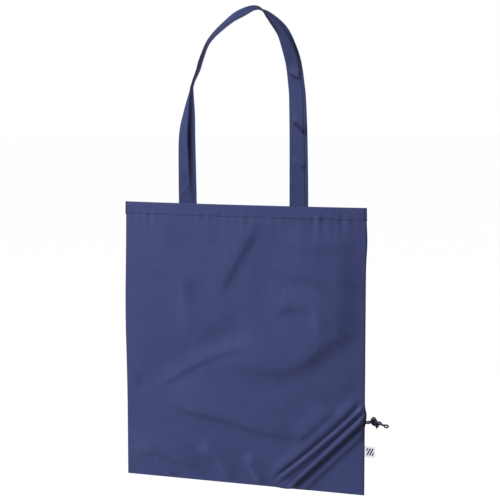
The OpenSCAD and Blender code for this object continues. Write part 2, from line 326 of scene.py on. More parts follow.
def folds(drawn, x, z):
    """Sum of the drawn folds: (height, width above, width below, points). A fold fades
    out towards both of its ends."""
    total = np.zeros(np.shape(x))
    for height, above, below, points in drawn:
        d, share = beside(smooth(points, 5) if len(points) > 2 else points, x, z)
        fade = soft_step(np.minimum(share, 1 - share) / 0.3)
        total += height * fade * np.exp(-(d / np.where(d > 0, above, below)) ** 2)
    return total


# %% Front folds
# Each is (height, width above, width below, points from end to end as x and z).
front_folds = [
    (3.6, 28, 8, [(-44, -146), (-10, -84), (10, -50), (26, -16)]),
    (5.4, 40, 11, [(40, -84), (84, -94), (120, -101), (156, -112), (240, -150)]),
    (4.4, 26, 8, [(36, -162), (76, -146), (104, -146), (120, -160), (130, -196)]),
    (8.6, 60, 16, [
        (-64, -236), (0, -233), (60, -235), (96, -224), (122, -202), (152, -184), (240, -166)
    ]),
    (2.2, 30, 12, [(60, -262), (130, -268), (200, -250)]),
    (-4.0, 24, 24, [(-180, -286), (-100, -240), (-40, -208), (50, -178)]),
    (3.2, 20, 5, [(-150, -288), (-84, -247), (-30, -221), (30, -206)]),
    (2.6, 30, 18, [(-90, -214), (-10, -154)]),
    (-2.6, 9, 8, [(-168, -256), (-165, -292)]),
    (2.2, 16, 9, [(-94, -96), (-85, -200)]),
    (7.4, 36, 10, [(-140, -304), (-60, -312), (-20, -320), (21, -329), (66, -336), (122, -338)]),
    (7.0, 34, 9, [(-240, -364), (-170, -376), (-126, -382), (-86, -394), (-50, -412)]),
    (5.0, 18, 5, [(-76, -370), (-40, -386), (-14, -420)]),
    (4.4, 14, 4, [(2, -372), (18, -396), (34, -428)]),
    (3.0, 12, 4, [(-150, -392), (-128, -404), (-110, -424)]),
    (4.0, 18, 7, [(80, -352), (108, -326), (150, -288)]),
    (2.0, 24, 14, [(-240, -40), (-120, -100), (-50, -124)]),
    (2.2, 24, 10, [(30, -40), (100, -56), (240, -46)]),
]
back_folds = [
    (3.8, 40, 20, [(-150, -120), (-40, -150), (60, -140), (150, -110)]),
    (4.6, 36, 16, [(-160, -250), (-60, -230), (40, -250), (130, -230)]),
    (3.0, 26, 12, [(-120, -330), (-30, -340), (60, -350)]),
    (2.7, 24, 12, [(-170, -60), (-110, -100), (-90, -170)]),
    (2.3, 22, 9, [(70, -60), (110, -110), (160, -160)]),
    (2.3, 18, 8, [(-60, -380), (-10, -396), (30, -412)]),
]


# %% Gathers at the casing
def gathers(x, z):
    """Long pleats along the casing, where the drawstring has pulled the cloth up. Each
    is (height, distance from the middle line, width above, width below)."""
    s, d = casing_along(x, z), casing_off(x, z)
    run = np.clip(s / casing_length, 0, 1)
    inside = np.clip((s + 16) / 14, 0, 1) * np.clip((casing_length + 18 - s) / 26, 0, 1)
    drift = 10 * run ** 2
    pleats = [
        (3.4, -29 - 0.6 * drift, 9, 6), (-1.6, -21 - 0.9 * drift, 3, 2),
        (4.4, -15.5 - 0.8 * drift, 5, 3.2), (-0.9, -9.8 - 0.1 * drift, 2, 1.6),
        (5.6, -3 - 0.2 * drift, 4.6, 2.8), (-0.5, 4.4 - 0.3 * drift, 2, 2), (1.7, 11, 5, 6),
    ]
    return inside * sum(
        h * np.exp(-((d - at) / np.where(d < at, up, down)) ** 2) for h, at, up, down in pleats
    )


# %% [markdown]
# ## The hem
# The mouth is turned in and sewn round once. The thread pulls the two layers together,
# so the cloth puckers between its stitches. The puckers differ in strength from place to
# place and are strongest at the handle ends.

# %% Hem puckers
def puckers(x, z):
    """Small waves round the stitches, and the groove that the thread pulls in. z counts
    from the panel's own upper edge."""
    ripple = np.sin(x / 2.3) + 0.8 * np.sin(x / 3.7 + 1.3) + 0.6 * np.sin(x / 8.9 + 0.4)
    wave = ripple * (0.5 + 0.4 * np.sin(x / 27.0 + 2.0))
    strong = sum(np.exp(-((x - at) / 7) ** 2) for at in (-152, -75, -57, 52, 63, 106, 118, 147))
    near = np.exp(-((z + 18.5) / 7) ** 2) + 0.5 * np.exp(-((z + 30) / 16) ** 2)
    groove = 0.6 * np.exp(-((z - hem_stitch_z) / 1.1) ** 2)
    return 0.25 * wave * near * (1 + 1.8 * strong) - groove


# %% Finished panel surface
def panel_point(side, x, z, inset=0.0):
    """A point of the panel's outer face, inset towards the inside of the bag."""
    calm = soft_step((half_width - np.abs(x)) / 46) * soft_step((bag_height + z) / 9)
    drawn = folds(front_folds if side < 0 else back_folds, x, z)
    relief = calm * drawn + np.clip((half_width - np.abs(x)) / 5, 0, 1) * (
        gathers(x, z) * np.clip((bag_height + z) / 3, 0, 1) + puckers(x, z - mouth(side, x))
    )
    # The cloth rolls in to the seams, but the right seam stays open for the drawstring.
    rolled = np.where(x > 0, 2.6, 0.8)
    edge = np.clip((np.abs(x) - half_width + rolled) / rolled, 0, 1)
    low = np.clip((-z - bag_height + 0.8) / 0.8, 0, 1)
    roll_in = np.sqrt(1 - 0.999 * edge ** 2) * np.sqrt(1 - 0.999 * low ** 2)
    gap = (x > 0) * np.exp(-((z - exit_z) / 7) ** 4)
    roll_in = roll_in + (1 - roll_in) * 0.9 * gap
    y = seam_plane(z) + (panel_y(side, x, z) + side * (relief + 0.25) - seam_plane(z)) * roll_in
    # The edges aren't quite straight: they bend in and out and sag at one place below.
    leftish = np.clip(0.5 - x / bag_width, 0, 1) ** 2
    rightish = np.clip(0.5 + x / bag_width, 0, 1) ** 2
    drift = (
        -2.4 * leftish * np.exp(-((z + 165) / 90) ** 2)
        + 1.8 * rightish * np.exp(-((z + 48) / 26) ** 2)
        + 2.4 * np.clip((x - 178) / 12, 0, 1) * np.exp(-((z + 300) / 8) ** 2)
    )
    sag = -1.3 * np.clip((-z - 408) / 12, 0, 1) * np.exp(-((x - 68) / 10) ** 2)
    return np.column_stack([x + drift, y - side * inset, z + sag])


def panel_shade(side, x, z):
    """Painted shade, from 0 to 1: dark lines in the grooves between the casing's pleats, along the
    hem's stitches, at both side edges and at the hem's right end.
    """
    s, d = casing_along(x, z), casing_off(x, z)
    inside = np.clip((s + 8) / 14, 0, 1) * np.clip((casing_length + 18 - s) / 30, 0, 1)
    drift = 10 * np.clip(s / casing_length, 0, 1) ** 2
    lines = [
        (0.75, -21 - 0.9 * drift, 1.8), (0.8, -9.8 - 0.1 * drift, 1.6),
        (1.0, 2.0 - 0.3 * drift, 3.0), (0.35, 15, 2),
    ]
    shade = inside * sum(much * np.exp(-((d - at) / wide) ** 2) for much, at, wide in lines)
    shade = shade + 0.5 * np.exp(-((z - mouth(side, x) + 18.6) / 0.9) ** 2)
    shade = shade + 0.45 * np.clip((np.abs(x) - 188.2) / 1, 0, 1)
    return np.clip(shade + 0.5 * (x > 185.5) * (z > -hem_depth), 0, 1)


print("fold tool ready:", len(front_folds), "front folds,", len(back_folds), "back folds")

# %% [markdown]
# ## The two panels
# Each panel is cut in one piece with its hem, so the grid starts at the hem's lower edge
# inside the bag, climbs to the mouth, turns over it in a tight round fold and runs down
# the outside. Its columns and rows are closer together in the corner with the casing,
# where the folds are small.

# %% Panel grids
TURN = 0.9                                   # radius of the fold over the mouth


def panel_places(side, u, v):
    """The x, z and inset of a panel's points, and their distance down from the mouth."""
    x = np.interp(u, [0, 0.012, 0.5, 0.988, 1], [-190, -189.2, 50, 189.2, 190])
    drop = np.interp(
        v, [0, 0.04, 0.075, 0.19, 0.56, 0.985, 1],
        [-hem_depth, -TURN, TURN, 26, 262, bag_height - 0.8, bag_height],
    )
    angle = np.clip(drop / TURN, -1, 1) * math.pi / 2
    depth = np.where(np.abs(drop) < TURN, TURN * (1 - np.cos(angle)), np.abs(drop))
    z = -depth + mouth(side, x) * (1 - depth / bag_height)
    return x, z, TURN * (1 - np.sin(angle)), drop


def panel_surface(side):
    return lambda u, v: panel_point(side, *panel_places(side, u, v)[:3])


def shade_of_panel(side):
    def shade(u, v):
        x, z, _, drop = panel_places(side, u, v)
        return panel_shade(side, x, z) * (drop > 0)
    return shade


for which, side in (("front", -1), ("back", 1)):
    cloth = cloth_grid(
        which + "_cloth", 198, 214, panel_surface(side), (396, 448),
        inside_out=side > 0, shade=shade_of_panel(side),
    )
    thicken(cloth, CLOTH)
    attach(cloth, "bag")
    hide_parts(which + "_panel", which + "_hem_facing")

# %% [markdown]
# ## Inside the bag
# The seam allowances are narrow strips that stand inward from the seams. The casings are
# strips too, sewn along both edges to the inner side of a panel, with room between for
# the drawstring. They are seldom seen, but they show when someone looks into the bag.

# %% Seam allowances
def strip(name, surface, columns, rows, size, node, inside_out=False):
    """A narrow piece of bag cloth, size millimetres across and down. A sheet is declared
    at least 10 mm wide."""
    piece = cloth_grid(name, columns, rows, surface, size, inside_out=inside_out)
    thicken(piece, CLOTH)
    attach(piece, "bag")
    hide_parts(node)


def side_strip(edge, top, bottom):
    """The turning of the left (edge -1) or right (edge 1) seam between two depths."""
    def surface(u, v):
        z = -top - (bottom - top) * v
        wave = 0.12 * np.sin(z / 5.0) * u
        return np.column_stack([edge * (189.3 - 7.6 * u), seam_plane(z) + wave - 0.1 * edge, z])
    return surface


def bottom_strip(u, v):
    x = -181 + 362 * u
    z = -412 - 7.3 * v
    return np.column_stack([x, seam_plane(z) + 0.12 * np.sin(x / 5.5) * (1 - v), z])


strip("left_seam_turning", side_strip(-1, 20, 419), 6, 180, (8, 399), "left_seam_allowance")
strip("right_seam_turning", side_strip(1, 20, 296), 6, 130, (8, 276), "right_seam_allowance")
strip("right_seam_turning_low", side_strip(1, 324, 419), 6, 50, (8, 95), "right_seam_allowance")
strip("bottom_seam_turning", bottom_strip, 160, 6, (362, 8), "bottom_seam_allowance")


# %% Casings
def on_casing(s, d):
    """x and z at s along the casing and d off its middle line."""
    return exit_x - (s - d) / math.sqrt(2), exit_z - (s + d) / math.sqrt(2)


def casing_surface(side):
    """Slanting ends keep the strip off the side seam and the bottom seam."""
    def surface(u, v):
        d = (v - 0.5) * casing_width
        s = (d + 5) * (1 - u) + (casing_length - d - 13.3) * u
        x, z = on_casing(s, d)
        hollow = 3.5 * (1 - (2 * d / casing_width) ** 2) * (1 - np.clip(s / casing_length, 0, 1) ** 16)
        return np.column_stack([x, panel_y(side, x, z) - side * (0.55 + hollow), z])
    return surface


for which, side in (("front", -1), ("back", 1)):
    strip(
        which + "_casing_strip", casing_surface(side), 120, 14, (142, 14),
        which + "_casing", inside_out=side < 0,
    )

# %% [markdown]
# ## The handles
# A handle is a strip of cloth folded flat and sewn along one side, five millimetres from
# its edge, which leaves a thin flap beyond the thread. Its cross-section is drawn once
# puffed up and once flat, and the handle is the section swept along a line while it
# turns over. The front handle turns half a turn on its way, so it shows its other face
# on the other leg.

# %% Cross-sections
# Points (across, off the face) once round the section, from the folded edge.
puffed = [
    (-14.5, 0), (-14.2, 0.6), (-12, 1.2), (-7, 2.0), (-2, 3.2), (2, 4.4), (3.6, 4.2), (6.6, 1.0),
    (8.6, 0.3), (9.5, 0.12), (10.5, 0.35), (12.5, 0.42), (14.2, 0.3), (14.5, 0), (14.2, -0.3),
    (12.5, -0.42), (10.5, -0.38), (9.5, -0.15), (8.5, -0.4), (4, -0.45), (-4, -0.45),
    (-12, -0.45), (-14.2, -0.35), (-14.5, 0),
]
flat = [
    (-14.5, 0), (-14.2, 0.35), (-12, 0.45), (-7, 0.45), (-1, 0.5), (3, 0.5), (5, 0.5), (6.8, 0.45),
    (8.6, 0.4), (9.5, 0.12), (10.5, 0.35), (12.5, 0.38), (14.2, 0.28), (14.5, 0), (14.2, -0.28),
    (12.5, -0.38), (10.5, -0.36), (9.5, -0.12), (8.5, -0.42), (4, -0.5), (-4, -0.5),
    (-12, -0.45), (-14.2, -0.35), (-14.5, 0),
]
puffed_section, flat_section = smooth(puffed, 4), smooth(flat, 4)
section_share = np.linspace(0, 1, len(flat_section))
print("a handle's section has", len(flat_section), "points")


# %% Sweep along a turning line
class Strap:
    """A handle's middle line with the direction of its width at each point. It is drawn
    as points (x, y, z, degrees of turn)."""

    def __init__(self, drawn, count=420):
        line = even(smooth(drawn, 8), count)
        self.points, turn = line[:, :3], np.radians(line[:, 3])
        along = np.gradient(self.points, axis=0)
        along = along / np.linalg.norm(along, axis=1)[:, None]
        inwards = np.cross((0, 1, 0), along)
        inwards /= np.maximum(np.linalg.norm(inwards, axis=1), 1e-9)[:, None]
        for k in range(1, len(inwards)):         # keeps its side over a bend
            if inwards[k] @ inwards[k - 1] < 0:
                inwards[k] = -inwards[k]
        outwards = np.cross(along, inwards)
        self.width = np.cos(turn)[:, None] * inwards + np.sin(turn)[:, None] * outwards
        self.face = np.cross(self.width, along)
        self.length = length_of(self.points)

    def pick(self, rows, share):
        """The rows of points or directions, read at a share of the length."""
        k = np.clip(share, 0, 1) * (len(self.points) - 1)
        return np.column_stack([np.interp(k, np.arange(len(rows)), rows[:, c]) for c in range(3)])

    def at(self, share, w, h):
        """The point w across and h off the face at a share of the length."""
        w, h = np.reshape(w, (-1, 1)), np.reshape(h, (-1, 1))
        sides = self.pick(self.width, share) * w
        return self.pick(self.points, share) + sides + self.pick(self.face, share) * h


def strap_surface(strap, puff, creases):
    """Blends the two sections by puff(share) and adds the creases of both faces."""
    def surface(u, v):
        amount = puff(v)
        w, h = (np.interp(u, section_share, flat_section[:, k]) for k in (0, 1))
        w2, h2 = (np.interp(u, section_share, puffed_section[:, k]) for k in (0, 1))
        w, h = w + (w2 - w) * amount, h + (h2 - h) * amount
        calm = np.clip((14.2 - np.abs(w)) / 3, 0, 1)
        return strap.at(v, w, h + calm * folds(creases, v * strap.length, w))
    return surface


def finish_handle(piece, which):
    bpy.ops.object.shade_smooth_by_angle(angle=math.radians(60))
    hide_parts(which + "_handle", which + "_handle_ends")
    print(piece.name, "has", len(piece.data.polygons), "faces")


# %% Front handle
front_strap = Strap([
    (-87, 0, -18, 0), (-86.2, 0, 0, 0), (-86, 0, 39, -2), (-85.2, 0, 98, -10), (-81, 0, 133, -31),
    (-76.3, 0, 165, -56), (-72.2, 0, 179, -67), (-64.5, 0, 200, -57), (-59.5, 0, 214, -57),
    (-50, 0, 235, -60), (-39, 0, 248.5, -61), (-23.4, 0, 261.8, -59), (-7, 0, 273.6, -57),
    (9.7, 0, 281.0, -59), (22.9, 0, 284.6, -70), (33, 0, 283.2, -92), (39.5, 0, 279, -113),
    (50, 0, 270.6, -128), (67, 0, 251.6, -145), (77, 0, 228, -156), (83.5, 0, 205, -161),
    (87.3, 0, 175, -164), (88.8, 0, 154, -167), (89.6, 0, 100, -173), (89.3, 0, 23, -179),
    (89, 0, 0, -180), (88.5, 0, -18, -180),
])
L = front_strap.length


def front_puff(v):
    """How puffed up the handle is, from 0 to 1."""
    return np.interp(
        v * L, [0, 22, 60, 110, 170, 200, 262, 300, 330, 352, 380, L],
        [0, 0, 0.5, 1, 1, 0.8, 0.8, 0.3, 0.2, 0.4, 0.1, 0],
    )


# Creases are folds of the cloth and marks are lines of painted shade; the points of both are (distance
# along, place across).
front_creases = [
    (0.8, 8, 2.5, [(26, -13), (38, -2), (50, 8)]),
    (0.8, 6, 3, [(66, -14), (58, 0)]),
    (-2.0, 9, 2.6, [(L - 212, -12), (L - 202, 10)]),
    (-2.4, 12, 3, [(L - 142, -15), (L - 132, 0), (L - 120, 14)]),
    (-2.2, 9, 2.6, [(L - 318, 0), (L - 262, 7), (L - 214, 15)]),
    (1.6, 14, 5, [(L - 306, -9), (L - 256, -2), (L - 205, -8)]),
    (-1.2, 7, 3, [(L - 84, -10), (L - 72, 10)]),
    (0.9, 9, 3, [(L - 46, -13), (L - 26, 12)]),
]
# Lines of painted shade on the front handle, where shade falls in its folds.
front_shade_marks = [
    (0.7, 2.5, 1.2, [(L - 214, -12), (L - 205, -2), (L - 200, 12)]),
    (0.9, 4, 1.6, [(L - 144, -15), (L - 134, 0), (L - 118, 15)]),
    (0.7, 2, 1.2, [(L - 262, 14), (L - 236, 11), (L - 216, 8), (L - 204, 10)]),
    (0.6, 2, 1.0, [(L - 286, 10), (L - 268, 6), (L - 246, 10)]),
    (0.5, 2, 1.0, [(26, -14), (36, -4), (52, 7)]),
    (0.4, 2, 1.0, [(70, -15), (60, -3)]),
    (0.4, 1.6, 1.0, [(L - 86, -12), (L - 72, 12)]),
    (0.35, 16, 16, [(L - 370, 0), (L - 270, -3), (L - 170, 0)]),
    (0.85, 6, 7, [(182, 3), (215, 2), (250, 0), (300, -8)]),
    (0.7, 4, 5, [(L - 350, -14), (L - 305, -14), (L - 262, -13)]),
    (0.6, 2, 5, [(L - 280, 14), (L - 240, 13.5), (L - 196, 14)]),
]


def strap_shade(strap, clear, shade_marks):
    """Painted shade on the handle: darkens the stitch line, the edges, the foot of the puffed part and
    the marks, where shade falls.
    """
    def shade(u, v):
        w = np.interp(u, section_share, flat_section[:, 0])
        s = v * strap.length
        ends = np.clip((np.minimum(v, 1 - v) * strap.length - clear) / 4, 0, 1)
        near = np.interp(s, [30, 60, 110, 200, 300, 330], [0.1, 0.45, 1.1, 1.1, 0.6, 0])
        stitch_line = 0.6 * ends * np.exp(-((w - 9.3) / 0.8) ** 2)
        edges = 0.4 * np.clip(np.abs(w) - 13.6, 0, 1)
        foot = 0.85 * near * np.exp(-((w - 6.4) / 2.2) ** 2)
        return np.clip(stitch_line + edges + foot + folds(shade_marks, s, w), 0, 1)
    return shade


front_handle_cloth = cloth_grid(
    "front_handle_cloth", 92, 420, strap_surface(front_strap, front_puff, front_creases), (60, L),
    tube=True, shade=strap_shade(front_strap, 20, front_shade_marks),
)
finish_handle(front_handle_cloth, "front")

# %% Rear handle
rear_side = [
    (-87.5, 15.14, -28, 0), (-87.5, 15.14, -18, 0), (-87.5, 15.2, -11, 0), (-87.5, 15.6, -8, 0),
    (-87.5, 16.6, -5.9, 0), (-87.5, 18.3, -5.0, 0), (-87.5, 20.2, -5.8, 0), (-87.5, 21.3, -8.2, 0),
    (-87.6, 21.7, -14, 0), (-88, 21.7, -54, 0), (-88, 22.4, -99, -2), (-86, 23.4, -144, -12),
    (-78, 26.2, -194, -40), (-57, 29.2, -238, -70), (-30, 30.2, -262, -85), (0, 30.2, -270, -90),
]
other_side = [(-x, y, z, turn) for x, y, z, turn in rear_side[-2::-1]]
rear_strap = Strap(rear_side + other_side, count=560)
R = rear_strap.length


def rear_puff(v):
    return np.interp(
        v * R, [0, 60, 110, 200, 260, R - 240, R - 160, R - 60, R],
        [0, 0, 0.5, 0.6, 0.1, 0.1, 0.5, 0, 0],
    )


rear_creases = [
    (0.5, 7, 3, [(96, -12), (102, 0), (108, 8)]),
    (-0.8, 9, 4, [(R - 180, -12), (R - 172, 0), (R - 166, 8)]),
    (0.5, 12, 6, [(R / 2 - 40, -6), (R / 2 - 20, 6)]),
    (-0.6, 9, 5, [(R / 2 + 30, -10), (R / 2 + 52, 6)]),
]
rear_handle_cloth = cloth_grid(
    "rear_handle_cloth", 92, 560, strap_surface(rear_strap, rear_puff, rear_creases), (60, R),
    tube=True, shade=strap_shade(rear_strap, 40, []),
)
finish_handle(rear_handle_cloth, "rear")

# %% [markdown]
# ## Stitching
# One stitch is a small bead of thread, thicker in the middle, which dips into the cloth
# at both ends. It is made once and copied along every seam, each copy turned to lie
# along its seam and lifted a little off the cloth.

# %% One stitch
STITCH = 2.7                                     # from one stitch to the next
deselect()
bpy.ops.mesh.primitive_uv_sphere_add(segments=8, ring_count=5, radius=0.001)
stitch = bpy.context.active_object
stitch.name = stitch.data.name = "stitch"
in_edit_mode(lambda: bpy.ops.transform.resize(value=(0.21, 0.17, STITCH * 0.42)))
print("one stitch has", len(stitch.data.polygons), "faces")


# %% Rows of stitches
def sew(name, rows, node, body):
    """Lays stitches along rows of (points, outward directions), in bag millimetres."""
    copies = []
    for points, outward in rows:
        s = np.r_[0, np.cumsum(np.linalg.norm(np.diff(points, axis=0), axis=1))]
        middles = np.arange(STITCH * 0.6, s[-1] - STITCH * 0.4, STITCH)

        def pick(table, at):
            return np.column_stack([np.interp(at, s, table[:, c]) for c in range(3)])

        here, ahead, behind = (pick(points, middles + step) for step in (0, 1, -1))
        out = pick(outward, middles)
        for p, along, up in zip(to_frame(here), ahead - behind, out):
            along = along / np.linalg.norm(along)
            side = np.cross(up, along)
            side /= np.linalg.norm(side)
            up = np.cross(along, side)
            copy = stitch.copy()
            copy.data = stitch.data.copy()
            copy.matrix_world = stand((side, up, along), p)
            bpy.context.scene.collection.objects.link(copy)
            copies.append(copy)
    deselect()
    for copy in copies:
        copy.select_set(True)
    bpy.context.view_layer.objects.active = copies[0]
    bpy.ops.object.join()
    bpy.ops.object.transform_apply(location=True, rotation=True, scale=True)
    row = bpy.context.active_object
    row.name = row.data.name = name
    bpy.ops.object.shade_smooth()
    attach(row, body)
    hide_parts(node)
    print(name, "has", len(copies), "stitches")


def panel_row(side, x, z, lift):
    """A row on a panel's face with its outward directions."""
    points = panel_point(side, x, z, -lift)
    return points, np.tile((0.0, side, 0.0), (len(points), 1))


def handle_row(strap, face, clear):
    """A row on one face of a handle, from clear millimetres off one end to the other."""
    start, end = clear / strap.length, 1 - clear / strap.length
    share = np.linspace(start, end, 500)
    points = strap.at(share, np.full(500, handle_stitch), np.full(500, face * 0.2))
    return points, face * strap.pick(strap.face, share)


for which, side in (("front", -1), ("back", 1)):
    x = np.linspace(2 - half_width, half_width - 2, 700)
    hem_row = panel_row(side, x, hem_stitch_z + mouth(side, x), 0.05)
    sew(which + "_hem_stitches", [hem_row], which + "_hem_stitching", "bag")
    rows = []
    for d in (-casing_stitch, casing_stitch):
        s = np.linspace(d + 6, casing_length - d - 14, 300)
        rows.append(panel_row(side, *on_casing(s, d), 0.02))
    sew(which + "_casing_stitches", rows, which + "_casing_stitching", "bag")
for which, strap, body, clear in (
    ("front", front_strap, "handle_front", 27), ("rear", rear_strap, "handle_rear", 44)
):
    rows = [handle_row(strap, face, clear) for face in (1, -1)]
    sew(which + "_handle_stitches", rows, which + "_handle_stitching", body)
bpy.data.objects.remove(stitch)

# %% [markdown]
# ### Sewn ends
# A handle's ends stay sewn to the bag while the rest of it swings.

# %% Bake the handles' transforms
for piece, body, start, end in (
    (front_handle_cloth, "handle_front", (0, 0, 8), (0, 0, -1)),
    (rear_handle_cloth, "bag", (0, 17.25, -5), (0, 20.83, -5.25)),
):
    other = "bag" if body == "handle_front" else "handle_rear"
    tuple(to_frame(start))
    tuple(to_frame(end))
    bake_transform(piece)
    print(piece.name, "bends between", body, "and", other)

# %% [markdown]
# ## The drawstring
# A thin round cord comes out of the side seam as two strands, is tied in one knot, winds
# once round itself and ends in a small loop. It is one cord, so it is one curve: out
# through the knot, round the loop and back. The knot is an overhand knot that is tied
# loosely and then pulled tight by a short calculation, as fingers would do it.

# %% Tie the knot
def tighten(points, thick, pulls):
    """Pulls a knotted line tight without letting it pass through itself."""
    p = points.copy()
    count = len(p)
    gap = np.abs(np.subtract.outer(np.arange(count), np.arange(count)))
    step = np.mean(np.linalg.norm(np.diff(p, axis=0), axis=1))
    for pull in range(pulls):
        step = max(step * 0.9965, 0.16 * thick)
        away = p[:, None] - p[None]
        far = np.linalg.norm(away, axis=2) + 1e-9
        near = (far < thick) & (gap * step > 1.35 * thick)
        push = np.where(near, (thick - far) * 0.5, 0)[:, :, None] * away / far[:, :, None]
        p += np.clip(push.sum(axis=1), -0.4 * step, 0.4 * step)
        p[1:-1] += 0.12 * (p[:-2] + p[2:] - 2 * p[1:-1])
        for sweep in range(4):
            link = np.diff(p, axis=0)
            length = np.linalg.norm(link, axis=1)[:, None]
            move = 0.5 * (length - step) * link / length
            p[:-1] += 0.9 * move
            p[1:] -= 0.9 * move
        p[[0, -1], 1:] *= 0.9
    return p


t = np.linspace(-2.25, 2.25, 90)
loose = np.column_stack([
    (t ** 5 - 10 * t) * 0.55, (t ** 3 - 3 * t) * 3.2, (t ** 4 - 4 * t ** 2) * 2.2,
])
knot = tighten(loose, 2 * cord_thickness, 700)
print("knot is", np.round(np.ptp(knot, axis=0), 1), "mm, line", round(length_of(knot), 1), "mm")


# %% Two strands
def strands_from(middle, apart, degrees):
    """Two strands on either side of a middle line, turning about it as they go."""
    along = np.gradient(middle, axis=0)
    along /= np.linalg.norm(along, axis=1)[:, None]
    across_line = np.zeros_like(along)
    across_line[0] = np.cross(along[0], np.cross((0, 1, 0), along[0]))
    across_line[0] /= np.linalg.norm(across_line[0])
    for k in range(1, len(along)):
        c = across_line[k - 1] - (across_line[k - 1] @ along[k]) * along[k]
        across_line[k] = c / np.linalg.norm(c)
    other = np.cross(along, across_line)
    angle = np.radians(degrees)[:, None]
    side = (across_line * np.cos(angle) + other * np.sin(angle)) * np.reshape(apart, (-1, 1))
    return middle + side, middle - side


# The middle line counts from the exit in the seam: out, through the knot and on.
knot_line = knot[::-1] if knot[0, 0] > knot[-1, 0] else knot
knot_line = even(smooth(knot_line[::2], 3), 80)
knot_line = (knot_line - knot_line[0] * (0, 1, 1))[:, [0, 2, 1]]
knot_line = knot_line * (1, 1, -1)
knot_centre = np.array([15.5, 0, -1.2])
knot_line = knot_line + (knot_centre - (knot_line.min(axis=0) + knot_line.max(axis=0)) / 2)
before = [(-1.2, 0, -1.2), (3, 0, -1.8)]
after = [(22.6, 0.3, -2.2), (25.2, 0, -3.0), (27.4, 0, -3.8)]
middle = even(smooth(np.vstack([before, knot_line, after]), 2), 120)
share = np.linspace(0, 1, 120)
apart = np.interp(
    share, [0, 0.04, 0.09, 0.82, 0.89, 0.96, 1], [1.7, 1.3, 1.25, 1.25, 2.7, 1.5, 1.25]
)
degrees = 180 - 90 * np.clip(share / 0.03, 0, 1) - 270 * share
degrees = degrees - 360 * np.clip((share - 0.84) / 0.12, 0, 1)
near_strand, far_strand = strands_from(middle, apart, degrees)
print("two strands of", round(length_of(near_strand)), "and", round(length_of(far_strand)), "mm")

# %% One line through the knot and round the loop
ring = middle[-1] + (5.0, 0, -1.2)
loop = [
    ring + (3.4 * math.cos(a), 0.4 * (k - 2.5), 2.5 * math.sin(a))
    for k, a in enumerate(np.radians((140, 80, 20, -40, -100, -150)))
]
exit_point = np.array([exit_x, float(seam_plane(exit_z)), exit_z])
cord_line = np.vstack([near_strand[:-1], loop, far_strand[-2::-1]]) + exit_point
cord_line = even(cord_line, 260)
for turn in range(6):                            # takes the kinks out
    cord_line[1:-1] += 0.25 * (cord_line[:-2] + cord_line[2:] - 2 * cord_line[1:-1])
cord_line = even(cord_line, 240)

# %% Make the cord
cord_curve = bpy.data.curves.new("drawstring_tail", "CURVE")
cord_curve.dimensions = "3D"
line = cord_curve.splines.new("NURBS")
line.points.add(len(cord_line) - 1)
line.points.foreach_set("co", np.column_stack([to_frame(cord_line), np.ones(len(cord_line))]).ravel())
line.order_u, line.use_endpoint_u = 3, True
cord_curve.bevel_depth = cord_thickness / 2 * 0.001
cord_curve.bevel_resolution = 4
cord_curve.use_fill_caps = True
cord_tail = bpy.data.objects.new("drawstring_tail", cord_curve)
bpy.context.scene.collection.objects.link(cord_tail)
select_only(cord_tail)
bpy.ops.object.convert(target="MESH")
in_edit_mode(lambda: bpy.ops.mesh.remove_doubles(threshold=0.00001))
in_edit_mode(lambda: bpy.ops.mesh.normals_make_consistent(inside=False))
bpy.ops.object.shade_smooth_by_angle(angle=math.radians(50))
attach(cord_tail, "cord_tail")
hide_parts("drawstring_neck", "drawstring_knot", "drawstring_loop")
tuple(to_frame(cord_line[0]))
[tuple(p) for p in to_frame(cord_line)]
print(cord_tail.name, "has", len(cord_tail.data.polygons), "faces")

# %% [markdown]
# ## The label
# A small woven satin label is folded double and caught in the side seam. Its face shows
# a plain border and three slanting bars, which are woven in and mean nothing.

# %% Label
label_low, label_high, label_out = -363, -346.6, 15.5


def label_surface(u, v):
    x = 190.2 + label_out * u
    z = label_high + (label_low - label_high) * v
    wave = 0.5 * np.sin(u * 2.6 + 0.4) * (0.6 + 0.4 * np.cos(v * 3.0)) - 0.35 * u * (v - 0.5)
    return np.column_stack([x, seam_plane(z) + wave - 0.15, z])


label_piece = cloth_grid("side_label_cloth", 40, 40, label_surface, (label_out, 16.4))
thicken(label_piece, LABEL_CLOTH)
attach(label_piece, "label")
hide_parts("side_label")

# %% [markdown]
# ## Finishes
# The materials are made of nodes. One small class lets a shader's arithmetic be written
# as plain Python, and one method adds any other node.

# %% Shader tools
class Value:
    """A number that varies over a surface. Arithmetic on it adds Math nodes."""

    def __init__(self, finish, socket):
        self.finish, self.socket = finish, socket

    def math(self, operation, a, b):
        return self.finish.node("ShaderNodeMath", {"operation": operation}, {0: a, 1: b})

    def __add__(self, other):
        return self.math("ADD", self, other)

    def __radd__(self, other):
        return self.math("ADD", other, self)

    def __sub__(self, other):
        return self.math("SUBTRACT", self, other)

    def __mul__(self, other):
        return self.math("MULTIPLY", self, other)


